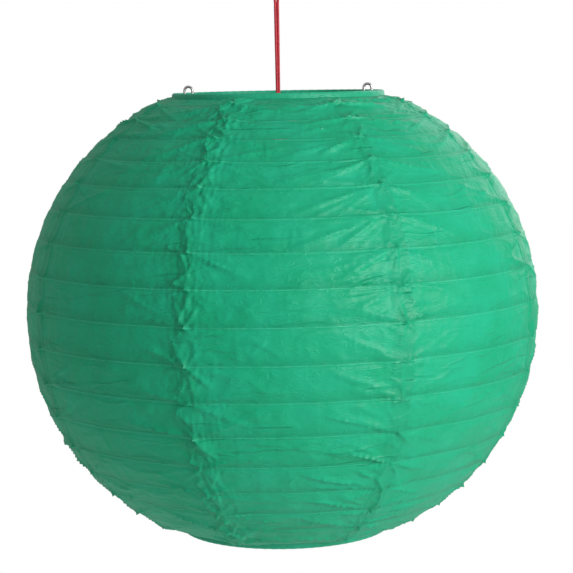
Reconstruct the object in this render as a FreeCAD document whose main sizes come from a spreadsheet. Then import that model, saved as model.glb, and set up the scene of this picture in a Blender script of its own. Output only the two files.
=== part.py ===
"""Hanging paper lantern: a pleated globe of tissue paper over wire hoops, held open by a
sprung wire expander and hung from a screw hook by a doubled cord.

Millimetres, +Z up. The origin is where the hook's collar meets the ceiling.
"""
import FreeCAD, Part
import math
import os

Vector = FreeCAD.Vector

DRIVING_SIZES = {
    # the globe, from the wires' centre lines
    "lantern_drop": 270.0,          # ceiling to the globe's widest plane
    "equator_radius": 198.6,
    "crown_height": 169.0,          # widest plane up to the top ring
    "base_depth": 173.0,            # widest plane down to the bottom ring
    "upper_fullness": 2.05,         # exponent of the meridian, 2 is an ellipse
    "lower_fullness": 2.05,
    "rib_crowding": 0.11,           # how much closer the hoops are near the rings
    "rib_lift": 0.05,               # how far the middle hoops ride up
    "ring_radius": 80.8,
    "ring_wire": 2.2,
    "hoop_wire": 1.0,
    # the paper
    "paper_thickness": 0.2,
    "paper_clearance": 0.3,
    "lap_gap": 0.25,
    "lap_angle": 4.3,
    "front_gore_angle": -87.25,     # middle of the front gore, from +X towards +Y
    "binding_thickness": 0.4,
    "binding_clearance": 0.1,
    "binding_skirt": 2.7,
    # the expander
    "expander_wire": 2.0,
    "ear_inset": 11.0,              # ear's middle inside the rings' centre line
    "ear_width": 6.1,
    "ear_rise": 6.2,                # ear's centre line above the top ring's
    "seat_reach": 0.8,              # hook end past the ring's centre line
    "wire_seat_gap": 0.1,
    "moving_gap": 0.3,
    "foot_turn": 5.0,
    "bend_radius": 3.0,
    # the crossbar that the cord is tied to
    "hanger_drop": 22.0,            # top ring down to the crossbar
    "hump_width": 8.0,
    "hump_height": 10.0,
    "curl_gap": 0.15,
    # the cord and its knot
    "cord_diameter": 2.1,
    "knot_radius": 3.4,
    "knot_height": 7.0,
    "knot_edge": 1.1,
    "knot_gap": 0.1,
    "bight_gap": 0.25,
    # the ceiling hook
    "hook_wire": 3.5,
    "hook_bend": 7.0,
    "hook_neck_bend": 5.0,
    "hook_neck": 4.0,
    "hook_tip_angle": 40.0,         # how far the tip rises past level
    "collar_radius": 6.0,
    "collar_thickness": 1.6,
    "screw_length": 14.0,
    "screw_point": 4.0,
}

HOOP_COUNT = 17
GORE_COUNT = 8

# the doubled cord, from the knot up over the hook and back down, chosen by hand
CORD_ROUTE = [
    (-0.70, -0.98, -103.0),
    (-1.20, 0.00, -34.0),
    (-2.90, 0.00, -24.5),
    (-3.20, 0.00, -18.8),
    (3.20, 0.00, -18.8),
    (2.90, 0.00, -24.5),
    (1.20, 0.00, -34.0),
    (0.70, 0.98, -103.0),
]
doc = FreeCAD.newDocument("paper_lantern")
sheet = doc.addObject("Spreadsheet::Sheet", "Sizes")
for row, (alias, value) in enumerate(DRIVING_SIZES.items(), start=1):
    sheet.set(f"A{row}", alias.replace("_", " "))
    sheet.set(f"B{row}", str(value))
    sheet.setAlias(f"B{row}", alias)
doc.recompute()

nodes = []


def size(alias):
    """A driving size, read from the sheet."""
    return float(sheet.get(alias))


def bind(item, bindings):
    for name, text in bindings.items():
        item.setExpression(name, text)


def node(item, label):
    """Name a finished sub-part: its label is also its file's name."""
    item.Label = label
    nodes.append(item)
    return item


# ---------------------------------------------------------------- wires


def rounded_wire(points, radius=None):
    """Straight runs through the points, joined by tangent arcs.

    Each arc has the given radius, or as much as its two runs allow. Returns the wire
    and the radii.
    """
    corners = [Vector(*p) for p in points]
    edges, radii, start = [], [], corners[0]
    for before, corner, after in zip(corners, corners[1:], corners[2:]):
        back = (before - corner).normalize()
        ahead = (after - corner).normalize()
        half_turn = (math.pi - back.getAngle(ahead)) / 2
        shorter = min((before - corner).Length, (after - corner).Length)
        bend = radius or 0.45 * shorter / math.tan(half_turn)
        bend = min(bend, 0.499 * shorter / math.tan(half_turn))
        reach = bend * math.tan(half_turn)
        inward = (back + ahead).normalize()
        middle = corner + inward * (bend / math.cos(half_turn) - bend)
        first, last = corner + back * reach, corner + ahead * reach
        edges.append(Part.LineSegment(start, first).toShape())
        edges.append(Part.Arc(first, middle, last).toShape())
        radii.append(bend)
        start = last
    edges.append(Part.LineSegment(start, corners[-1]).toShape())
    return Part.Wire(edges), radii


def swept_wire(name, path, diameter_alias):
    """A round wire along a path, its section bound to the sheet."""
    spine = doc.addObject("Part::Feature", name + "_path")
    spine.Shape = path
    first_edge = path.OrderedEdges[0]
    tangent = first_edge.tangentAt(first_edge.FirstParameter)
    section = doc.addObject("Part::Circle", name + "_section")
    section.setExpression("Radius", f"Sizes.{diameter_alias} / 2")
    section.Placement = FreeCAD.Placement(
        path.OrderedVertexes[0].Point, FreeCAD.Rotation(Vector(0, 0, 1), tangent))
    sweep = doc.addObject("Part::Sweep", name)
    sweep.Sections = [section]
    sweep.Spine = (spine, [f"Edge{i + 1}" for i in range(len(path.Edges))])
    sweep.Solid = True
    sweep.Frenet = False
    return sweep


def fused(name, pieces):
    fuse = doc.addObject("Part::MultiFuse", name)
    fuse.Shapes = pieces
    fuse.Refine = True
    return fuse


# ---------------------------------------------------------------- rings and hoops

HALVES = {
    "upper": ("crown_height", "upper_fullness", "+"),
    "lower": ("base_depth", "lower_fullness", "-"),
}


def station(index):
    """Position of a hoop along the meridian, 1 at the top ring and -1 at the bottom."""
    even = 1 - 2 * index / (HOOP_COUNT + 1)
    return (f"({even:.6f} + Sizes.rib_crowding * {math.sin(math.pi * even) / math.pi:.6f}"
            f" + Sizes.rib_lift * {1 - even * even:.6f})")


def meridian_height(half):
    """Half height of the closed oval whose meridian passes through the ring."""
    height, fullness, _ = HALVES[half]
    return (f"(Sizes.{height} / (1 - (Sizes.ring_radius / Sizes.equator_radius)"
            f" ^ Sizes.{fullness}) ^ (1 / Sizes.{fullness}))")


def hoop(index):
    even = 1 - 2 * index / (HOOP_COUNT + 1)
    half = "upper" if even > -0.01 else "lower"
    height, fullness, _ = HALVES[half]
    share = f"(Sizes.{height} / {meridian_height(half)})"
    rise = f"sin(asin({share}) * {station(index)})"
    ring = doc.addObject("Part::Torus", f"rib_hoop_{index:02d}")
    bind(ring, {
        "Radius1": f"Sizes.equator_radius * (1 - abs({rise}) ^ Sizes.{fullness})"
                   f" ^ (1 / Sizes.{fullness})",
        "Radius2": "Sizes.hoop_wire / 2",
        "Placement.Base.z": f"{meridian_height(half)} * {rise} - Sizes.lantern_drop",
    })
    return node(ring, f"rib_hoop_{index:02d}")


def end_ring(name, height):
    ring = doc.addObject("Part::Torus", name)
    bind(ring, {
        "Radius1": "Sizes.ring_radius",
        "Radius2": "Sizes.ring_wire / 2",
        "Placement.Base.z": f"{height} - Sizes.lantern_drop",
    })
    return node(ring, name)


top_ring = end_ring("top_ring", "Sizes.crown_height")
bottom_ring = end_ring("bottom_ring", "-Sizes.base_depth")
hoops = [hoop(index) for index in range(1, HOOP_COUNT + 1)]
doc.recompute()

# ---------------------------------------------------------------- paper


def binding(name, ring, side):
    """Paper folded over a ring: side is 1 over its top, -1 round its underside."""
    ring_z = ring.Placement.Base.z
    inner = size("ring_wire") / 2 + size("binding_clearance")
    outer = inner + size("binding_thickness")
    skirt = ring_z - side * size("binding_skirt")
    centre = size("ring_radius")

    def arch(radius):
        return Part.Arc(Vector(centre - radius, 0, ring_z),
                        Vector(centre, 0, ring_z + side * radius),
                        Vector(centre + radius, 0, ring_z)).toShape()

    def run(start, end):
        return Part.LineSegment(Vector(start[0], 0, start[1]),
                                Vector(end[0], 0, end[1])).toShape()

    outline = Part.Wire([
        arch(outer),
        run((centre + outer, ring_z), (centre + outer, skirt)),
        run((centre + outer, skirt), (centre + inner, skirt)),
        run((centre + inner, skirt), (centre + inner, ring_z)),
        arch(inner),
        run((centre - inner, ring_z), (centre - outer, ring_z)),
    ])
    profile = doc.addObject("Part::Feature", name + "_profile")
    profile.Shape = Part.Face(outline)
    band = doc.addObject("Part::Revolution", name)
    band.Source = profile
    band.Axis = Vector(0, 0, 1)
    band.Angle = 360
    band.Solid = True
    return node(band, name)


def meridian_points():
    """Wire centres down the globe, with the binding's skirts at both ends."""
    ring_offset = (size("ring_wire") / 2 + size("binding_clearance")
                   + size("binding_thickness") - size("hoop_wire") / 2)
    skirt = size("binding_skirt") - size("binding_thickness")
    points = [Vector(size("ring_radius") + ring_offset, 0, top_ring.Placement.Base.z - skirt)]
    points += [Vector(h.Radius1.Value, 0, h.Placement.Base.z) for h in hoops]
    points.append(Vector(size("ring_radius") + ring_offset, 0,
                         bottom_ring.Placement.Base.z + skirt))
    return points


def pushed_out(points, distance):
    """The same polygon moved outwards, each point along its own normal."""
    moved = []
    for index, point in enumerate(points):
        before = points[max(index - 1, 0)]
        after = points[min(index + 1, len(points) - 1)]
        if index in (0, len(points) - 1):
            normal = Vector(1, 0, 0)
        else:
            along = (before - point).normalize() + (point - after).normalize()
            normal = Vector(along.z, 0, -along.x).normalize()
        moved.append(point + normal * distance)
    return moved


def gore_profile(name, layer):
    """Section of one gore: taut between the hoops, on the under or the upper layer."""
    pitch = size("paper_thickness") + size("lap_gap")
    inside = size("hoop_wire") / 2 + size("paper_clearance") + layer * pitch
    inner = pushed_out(meridian_points(), inside)
    outer = pushed_out(meridian_points(), inside + size("paper_thickness"))
    outline = inner + outer[::-1] + inner[:1]
    profile = doc.addObject("Part::Feature", name)
    profile.Shape = Part.Face(Part.makePolygon(outline))
    return profile


top_binding = binding("top_binding", top_ring, 1)
bottom_binding = binding("bottom_binding", bottom_ring, -1)
gore_profiles = [gore_profile("under_gore_profile", 0), gore_profile("upper_gore_profile", 1)]
for index in range(GORE_COUNT):
    gore = doc.addObject("Part::Revolution", f"paper_gore_{index + 1}")
    gore.Source = gore_profiles[(index + 1) % 2]
    gore.Axis = Vector(0, 0, 1)
    gore.Solid = True
    pitch_angle = 360 / GORE_COUNT
    bind(gore, {
        "Angle": f"{pitch_angle} + Sizes.lap_angle",
        "Placement.Rotation.Angle": f"Sizes.front_gore_angle + {index * pitch_angle}"
                                    f" - ({pitch_angle} + Sizes.lap_angle) / 2",
    })
    gore.Placement = FreeCAD.Placement(Vector(), FreeCAD.Rotation(Vector(0, 0, 1), 1))
    node(gore, f"paper_gore_{index + 1}")

# ---------------------------------------------------------------- expander and crossbar

top_z = top_ring.Placement.Base.z
bottom_z = bottom_ring.Placement.Base.z
wire_stack = (size("ring_wire") + size("expander_wire")) / 2
seat_z = top_z - wire_stack - size("wire_seat_gap")
foot_z = bottom_z + wire_stack + size("moving_gap")
ear_z = top_z + size("ear_rise")
ear_middle = size("ring_radius") - size("ear_inset")
ear_out = ear_middle + size("ear_width") / 2
ear_in = ear_middle - size("ear_width") / 2
seat_end = size("ring_radius") + size("seat_reach")
foot_reach = (size("ring_radius") + size("ring_wire") / 2 + size("binding_clearance")
              - size("moving_gap") - size("expander_wire") / 2)

right_side = [
    (seat_end, 0, seat_z),
    (ear_out, 0, seat_z),
    (ear_out, 0, ear_z),
    (ear_in, 0, ear_z),
    (ear_in, 0, foot_z + size("foot_turn")),
    (foot_reach, 0, foot_z + size("foot_turn")),
    (foot_reach, 0, foot_z),
]
left_side = [(-x, y, z) for x, y, z in reversed(right_side)]
expander_path, _ = rounded_wire(right_side + left_side, size("bend_radius"))
node(swept_wire("expander_frame", expander_path, "expander_wire"), "expander_frame")

bar_z = top_z - size("hanger_drop")
hump_z = bar_z + size("hump_height")
half_hump = size("hump_width") / 2
curl_radius = size("expander_wire") + size("curl_gap")
bar_path, _ = rounded_wire([
    (ear_in - curl_radius, 0, bar_z),
    (half_hump, 0, bar_z),
    (half_hump, 0, hump_z),
    (-half_hump, 0, hump_z),
    (-half_hump, 0, bar_z),
    (curl_radius - ear_in, 0, bar_z),
], half_hump)
bar_pieces = [swept_wire("hanger_wire", bar_path, "expander_wire")]
for side in (-1, 1):
    curl = doc.addObject("Part::Torus", "hanger_curl")
    bind(curl, {
        "Radius1": "Sizes.expander_wire + Sizes.curl_gap",
        "Radius2": "Sizes.expander_wire / 2",
        "Placement.Base.x": f"{side} * (Sizes.ring_radius - Sizes.ear_inset"
                            f" - Sizes.ear_width / 2)",
        "Placement.Base.z": "Sizes.crown_height - Sizes.hanger_drop - Sizes.lantern_drop",
    })
    bar_pieces.append(curl)
node(fused("hanger_bar", bar_pieces), "hanger_bar")

# ---------------------------------------------------------------- cord and knot

cord_path, cord_radii = rounded_wire(CORD_ROUTE)
print("cord arc radii, mm:", [round(radius, 1) for radius in cord_radii])
cord = node(swept_wire("hanging_cord", cord_path, "cord_diameter"), "hanging_cord")

cord_end_z = CORD_ROUTE[0][2]
lump = doc.addObject("Part::Cylinder", "knot_lump")
bind(lump, {
    "Radius": "Sizes.knot_radius",
    "Height": "Sizes.knot_height",
    "Placement.Base.z": f"{cord_end_z} - Sizes.knot_gap - Sizes.knot_height",
})
doc.recompute()
rounded_lump = doc.addObject("Part::Fillet", "knot_rounded")
rounded_lump.Base = lump
rounded_lump.Edges = [
    (number, size("knot_edge"), size("knot_edge"))
    for number, edge in enumerate(lump.Shape.Edges, start=1) if edge.Closed
]
bight_half = (size("expander_wire") + size("cord_diameter")) / 2 + size("bight_gap")
bight_top = cord_end_z - size("knot_gap") - size("knot_height") / 2
bight_path, _ = rounded_wire([
    (0, -bight_half, bight_top),
    (0, -bight_half, hump_z - bight_half),
    (0, bight_half, hump_z - bight_half),
    (0, bight_half, bight_top),
], bight_half)
bight = swept_wire("knot_bight", bight_path, "cord_diameter")
node(fused("cord_knot", [rounded_lump, bight]), "cord_knot")

# ---------------------------------------------------------------- ceiling hook

neck_bend, hook_bend = size("hook_neck_bend"), size("hook_bend")
neck_angle = math.acos(neck_bend / (neck_bend + hook_bend))
hook_z = -size("hook_neck") - (neck_bend + hook_bend) * math.sin(neck_angle)
bend_end = -math.pi - math.radians(size("hook_tip_angle"))


def on_neck(angle):
    return Vector(0, neck_bend - neck_bend * math.cos(angle),
                  -size("hook_neck") - neck_bend * math.sin(angle))


def on_bend(angle):
    """A point of the round part: 0 is level on the +Y side, -90 degrees is the lowest."""
    return Vector(0, hook_bend * math.cos(angle), hook_z + hook_bend * math.sin(angle))


hook_path = Part.Wire([
    Part.LineSegment(Vector(0, 0, -size("collar_thickness") / 2),
                     Vector(0, 0, -size("hook_neck"))).toShape(),
    Part.Arc(on_neck(0), on_neck(neck_angle / 2), on_neck(neck_angle)).toShape(),
    Part.Arc(on_bend(neck_angle), on_bend((neck_angle + bend_end) / 2),
             on_bend(bend_end)).toShape(),
])
collar = doc.addObject("Part::Cylinder", "hook_collar")
bind(collar, {
    "Radius": "Sizes.collar_radius",
    "Height": "Sizes.collar_thickness",
    "Placement.Base.z": "-Sizes.collar_thickness",
})
shank = doc.addObject("Part::Cylinder", "hook_shank")
bind(shank, {
    "Radius": "Sizes.hook_wire / 2",
    "Height": "Sizes.screw_length + Sizes.collar_thickness",
    "Placement.Base.z": "-Sizes.collar_thickness",
})
point = doc.addObject("Part::Cone", "hook_point")
bind(point, {
    "Radius1": "Sizes.hook_wire / 2",
    "Radius2": "Sizes.hook_wire / 10",
    "Height": "Sizes.screw_point",
    "Placement.Base.z": "Sizes.screw_length",
})
hook_wire = swept_wire("hook_wire_body", hook_path, "hook_wire")
node(fused("ceiling_hook", [hook_wire, collar, shank, point]), "ceiling_hook")

# ---------------------------------------------------------------- checks and files

doc.recompute()
for item in doc.Objects:
    if {"Invalid", "Error"} & set(item.State):
        raise RuntimeError(f"{item.Label} did not build: {item.State}")
os.makedirs("parts", exist_ok=True)
for item in nodes:
    shape = item.Shape
    if shape.isNull() or not shape.isValid() or shape.Volume <= 0:
        raise RuntimeError(f"{item.Label} is not a valid solid")
for item in nodes:
    item.Shape.exportStep(f"parts/{item.Label}.step")

section_area = math.pi * size("cord_diameter") ** 2 / 4
print("cord length, mm:", round(cord_path.Length, 1), "volume over section times length:",
      round(cord.Shape.Volume / (section_area * cord_path.Length), 4))
print(len(nodes), "nodes written")
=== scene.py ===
"""Hanging paper lantern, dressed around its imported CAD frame.

Tissue gores, paper edgings, twisted cord, knot and the hook's thread are made here; the
wires and the rest of the ceiling hook are the CAD's own, with their metal finishes.
Metres, +Z up, and the origin is where the hook's collar meets the ceiling.
"""

import math

import bpy
import numpy as np
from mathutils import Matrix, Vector


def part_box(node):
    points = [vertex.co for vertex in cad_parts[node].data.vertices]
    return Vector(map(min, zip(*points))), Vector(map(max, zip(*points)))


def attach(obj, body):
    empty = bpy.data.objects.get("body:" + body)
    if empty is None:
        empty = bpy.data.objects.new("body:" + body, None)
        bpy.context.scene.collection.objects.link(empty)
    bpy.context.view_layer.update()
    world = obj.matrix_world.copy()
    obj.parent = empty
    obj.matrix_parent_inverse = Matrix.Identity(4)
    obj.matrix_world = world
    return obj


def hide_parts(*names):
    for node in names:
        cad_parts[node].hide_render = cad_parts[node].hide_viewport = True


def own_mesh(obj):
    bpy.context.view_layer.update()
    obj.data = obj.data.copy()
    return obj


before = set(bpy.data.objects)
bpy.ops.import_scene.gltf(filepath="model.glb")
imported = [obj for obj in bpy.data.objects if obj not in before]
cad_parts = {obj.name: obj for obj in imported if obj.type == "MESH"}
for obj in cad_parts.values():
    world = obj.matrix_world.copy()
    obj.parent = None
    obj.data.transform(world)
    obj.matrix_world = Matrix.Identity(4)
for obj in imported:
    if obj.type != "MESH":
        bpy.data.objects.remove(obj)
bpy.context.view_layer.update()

MM = 0.001
HOOPS = 17
GORES = 8

# ---------------------------------------------------------------- levels from the frame

top_ring_low, top_ring_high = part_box("top_ring")
base_ring_low, base_ring_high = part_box("bottom_ring")
RING_REACH = top_ring_high.x                 # to the outside of the end rings' wire
RING_WIRE = top_ring_high.z - top_ring_low.z
TOP_RING = (top_ring_low.z + top_ring_high.z) / 2
BASE_RING = (base_ring_low.z + base_ring_high.z) / 2
hoop_boxes = [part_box(f"rib_hoop_{number:02d}") for number in range(1, HOOPS + 1)]
EQUATOR = -0.270                             # the globe's widest level

PAPER = 0.2 * MM                             # one sheet
HOOP_CLEARANCE = 0.3 * MM                    # paper's inner face outside each hoop
GORE_EDGE = 2.9 * MM                         # an end ring's middle to the gore's edge
LAP_STEP = 0.30 * MM                         # one gore's layer outside its neighbour's
FRONT_GORE = -87.25                          # degrees from +X
GORE_PITCH = 360 / GORES
LAP_ANGLE = 4.3                              # degrees that one gore reaches over the next
HALF_GORE = math.radians(GORE_PITCH + LAP_ANGLE) / 2

# ---------------------------------------------------------------- hand tools


def drop_selection():
    if bpy.context.object and bpy.context.object.mode != "OBJECT":
        bpy.ops.object.mode_set(mode="OBJECT")
    bpy.ops.object.select_all(action="DESELECT")


def take(piece):
    drop_selection()
    piece.select_set(True)
    bpy.context.view_layer.objects.active = piece


def settle(piece):
    """The piece's place goes into its mesh, and its object sits at the origin."""
    take(piece)
    bpy.ops.object.transform_apply(location=True, rotation=True, scale=True)


def finish_with(piece, kind, **settings):
    take(piece)
    modifier = piece.modifiers.new(kind.lower(), kind)
    for name, value in settings.items():
        setattr(modifier, name, value)
    bpy.ops.object.modifier_apply(modifier=modifier.name)


def smooth(piece, degrees=40):
    take(piece)
    bpy.ops.object.shade_smooth_by_angle(angle=math.radians(degrees))


def outward(piece):
    take(piece)
    bpy.ops.object.mode_set(mode="EDIT")
    bpy.ops.mesh.select_all(action="SELECT")
    bpy.ops.mesh.remove_doubles(threshold=1e-6)
    bpy.ops.mesh.normals_make_consistent(inside=False)
    bpy.ops.object.mode_set(mode="OBJECT")


def points_of(piece):
    places = np.empty(len(piece.data.vertices) * 3)
    piece.data.vertices.foreach_get("co", places)
    return places.reshape(-1, 3)


def move_points(piece, places):
    piece.data.vertices.foreach_set("co", places.ravel())
    piece.data.update()


def dress(piece, material):
    piece.data.materials.clear()
    piece.data.materials.append(material)


# ---------------------------------------------------------------- shader building


def feed(tree, socket, value):
    """Joins a socket to another node's socket, or sets it to a plain value."""
    if isinstance(value, bpy.types.NodeSocket):
        tree.links.new(value, socket)
    else:
        socket.default_value = value


def put(tree, kind, *inputs, out=0, **settings):
    """Adds a node, feeds its inputs (each a socket's name or index, and what it is fed)
    and gives one of its outputs."""
    made = tree.nodes.new(kind)
    for name, value in settings.items():
        setattr(made, name, value)
    for name, value in inputs:
        feed(tree, made.inputs[name], value)
    return made.outputs[out]


def reckon(tree, operation, *values):
    return put(tree, "ShaderNodeMath", *enumerate(values), operation=operation)


def span(tree, value, low, high, start=0.0, end=1.0):
    return put(tree, "ShaderNodeMapRange", ("Value", value), ("From Min", low),
               ("From Max", high), ("To Min", start), ("To Max", end), clamp=True)


def colour_mix(tree, share, first, second):
    """A colour between two; 0, 6, 7 and 2 are the Mix node's own colour sockets."""
    made = tree.nodes.new("ShaderNodeMix")
    made.data_type = "RGBA"
    for index, value in ((0, share), (6, first), (7, second)):
        feed(tree, made.inputs[index], value)
    return made.outputs[2]


def scaled(tree, vector, scale, turn=(0, 0, 0)):
    return put(tree, "ShaderNodeMapping", ("Vector", vector), ("Scale", scale),
               ("Rotation", turn))


def noise(tree, vector, scale, detail=3.0, rough=0.55, warp=0.0):
    return put(tree, "ShaderNodeTexNoise", ("Vector", vector), ("Scale", scale),
               ("Detail", detail), ("Roughness", rough), ("Distortion", warp))


def effect(name, inputs, outputs):
    """An empty node group with its sockets; inputs are (name, kind, start value)."""
    tree = bpy.data.node_groups.new(name, "ShaderNodeTree")
    for label, kind, value in inputs:
        socket = tree.interface.new_socket(label, in_out="INPUT", socket_type=kind)
        if value is not None:
            socket.default_value = value
    for label, kind in outputs:
        tree.interface.new_socket(label, in_out="OUTPUT", socket_type=kind)
    entry = tree.nodes.new("NodeGroupInput")
    way_out = tree.nodes.new("NodeGroupOutput")
    return tree, entry.outputs, way_out.inputs


def place_effect(tree, group, *inputs):
    made = tree.nodes.new("ShaderNodeGroup")
    made.node_tree = group
    for name, value in inputs:
        feed(tree, made.inputs[name], value)
    return made.outputs


FLOAT, VECTOR = "NodeSocketFloat", "NodeSocketVector"


def fibre_effect():
    """Long pale fibres lying every way in a thin sheet."""
    tree, given, result = effect(
        "paper_fibres",
        [("Vector", VECTOR, None), ("Density", FLOAT, 420.0)],
        [("Strands", FLOAT), ("Grain", FLOAT)])
    strands = None
    for turn in ((0.3, 0.1, 0.5), (1.2, 0.8, 2.1), (2.2, 1.9, 1.0)):
        lie = scaled(tree, given["Vector"], (1.0, 1.0, 0.16), turn)
        field = noise(tree, lie, given["Density"], 2.0, 0.5, 0.4)
        away = reckon(tree, "ABSOLUTE", reckon(tree, "SUBTRACT", field, 0.5))
        line = span(tree, away, 0.0, 0.022, 1.0, 0.0)
        strands = line if strands is None else reckon(tree, "MAXIMUM", strands, line)
    tree.links.new(strands, result["Strands"])
    tree.links.new(noise(tree, given["Vector"], 2600.0, 2.0, 0.6), result["Grain"])
    return tree


def crinkle_effect():
    """Sharp handling folds drawn out three ways, with soft facets between them. Only some
    of them show: Kept sets the share of the sheet where they do."""
    tree, given, result = effect(
        "handling_crinkle",
        [("Vector", VECTOR, None), ("Facets", FLOAT, 90.0), ("Wander", FLOAT, 0.012),
         ("Kept", FLOAT, 0.5)],
        [("Height", FLOAT), ("Folds", FLOAT)])
    loose = reckon(tree, "MULTIPLY", given["Facets"], 0.55)
    drift = put(tree, "ShaderNodeTexNoise", ("Vector", given["Vector"]), ("Scale", loose),
                ("Detail", 2.0), out="Color")
    drift = put(tree, "ShaderNodeVectorMath", (0, drift), (1, (0.5, 0.5, 0.5)),
                operation="SUBTRACT")
    drift = put(tree, "ShaderNodeVectorMath", (0, drift), ("Scale", given["Wander"]),
                operation="SCALE")
    walk = put(tree, "ShaderNodeVectorMath", (0, given["Vector"]), (1, drift),
               operation="ADD")
    cells = put(tree, "ShaderNodeTexVoronoi", ("Vector", walk),
                ("Scale", given["Facets"]), out="Distance")
    folds = None
    for turn in (-0.25, 0.35, 1.35):
        lie = scaled(tree, walk, (0.34, 1.0, 1.0), (0, 0, turn))
        bands = noise(tree, lie, given["Facets"], 1.5, 0.5)
        away = reckon(tree, "ABSOLUTE", reckon(tree, "SUBTRACT", bands, 0.5))
        crest = span(tree, away, 0.0, 0.07, 1.0, 0.0)
        crest = reckon(tree, "MULTIPLY", crest, crest)
        edge_of_shown = reckon(tree, "SUBTRACT", 0.66,
                               reckon(tree, "MULTIPLY", given["Kept"], 0.3))
        shown = noise(tree, scaled(tree, given["Vector"], (1, 1, 1), (0.4, turn, turn)),
                      loose, 1.0, 0.5)
        shown = span(tree, shown, edge_of_shown, reckon(tree, "ADD", edge_of_shown, 0.12))
        crest = reckon(tree, "MULTIPLY", crest, shown)
        folds = crest if folds is None else reckon(tree, "MAXIMUM", folds, crest)
    height = reckon(tree, "ADD", reckon(tree, "MULTIPLY", cells, 0.45), folds)
    tree.links.new(height, result["Height"])
    tree.links.new(folds, result["Folds"])
    return tree


def dye_effect():
    """Slow uneven dye, from 0 where it is thin to 1 where it has pooled."""
    tree, given, result = effect(
        "uneven_dye",
        [("Vector", VECTOR, None), ("Patches", FLOAT, 26.0), ("Contrast", FLOAT, 0.25)],
        [("Pooled", FLOAT)])
    slow = noise(tree, given["Vector"], given["Patches"], 4.0, 0.6, 0.3)
    low = reckon(tree, "SUBTRACT", 0.5, given["Contrast"])
    high = reckon(tree, "ADD", 0.5, given["Contrast"])
    tree.links.new(span(tree, slow, low, high), result["Pooled"])
    return tree


def drawn_metal_effect():
    """Die lines, handling scuffs and a dull film on drawn wire."""
    tree, given, result = effect(
        "drawn_metal",
        [("Vector", VECTOR, None), ("Die Lines", FLOAT, 1500.0), ("Film", FLOAT, 0.5)],
        [("Film", FLOAT), ("Scuff", FLOAT), ("Height", FLOAT)])
    film = noise(tree, given["Vector"], 55.0, 4.0, 0.65, 0.6)
    low = reckon(tree, "SUBTRACT", 1.0, given["Film"])
    tree.links.new(span(tree, film, reckon(tree, "MULTIPLY", low, 0.55), 0.72),
                   result["Film"])
    lines = noise(tree, scaled(tree, given["Vector"], (1, 1, 0.05)), given["Die Lines"],
                  2.0, 0.5)
    scuff = noise(tree, given["Vector"], 420.0, 3.0, 0.7, 1.2)
    tree.links.new(span(tree, scuff, 0.6, 0.68), result["Scuff"])
    tree.links.new(reckon(tree, "ADD", lines, reckon(tree, "MULTIPLY", scuff, 0.4)),
                   result["Height"])
    return tree


fibres, crinkle = fibre_effect(), crinkle_effect()
uneven_dye, drawn_metal = dye_effect(), drawn_metal_effect()


def new_finish(name, preview):
    """A bare material; gives it, its node tree and its Principled shader."""
    made = bpy.data.materials.new(name)
    made.use_nodes = True
    made.diffuse_color = (*preview, 1)
    tree = made.node_tree
    return made, tree, tree.nodes["Principled BSDF"]


def object_place(tree):
    return put(tree, "ShaderNodeTexCoord", out="Object")


def bumped(tree, height, reach, strength, under=None):
    """A relief of the given height, laid over the one under it."""
    inputs = [("Height", height), ("Distance", reach), ("Strength", strength)]
    if under is not None:
        inputs.append(("Normal", under))
    return put(tree, "ShaderNodeBump", *inputs)


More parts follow.
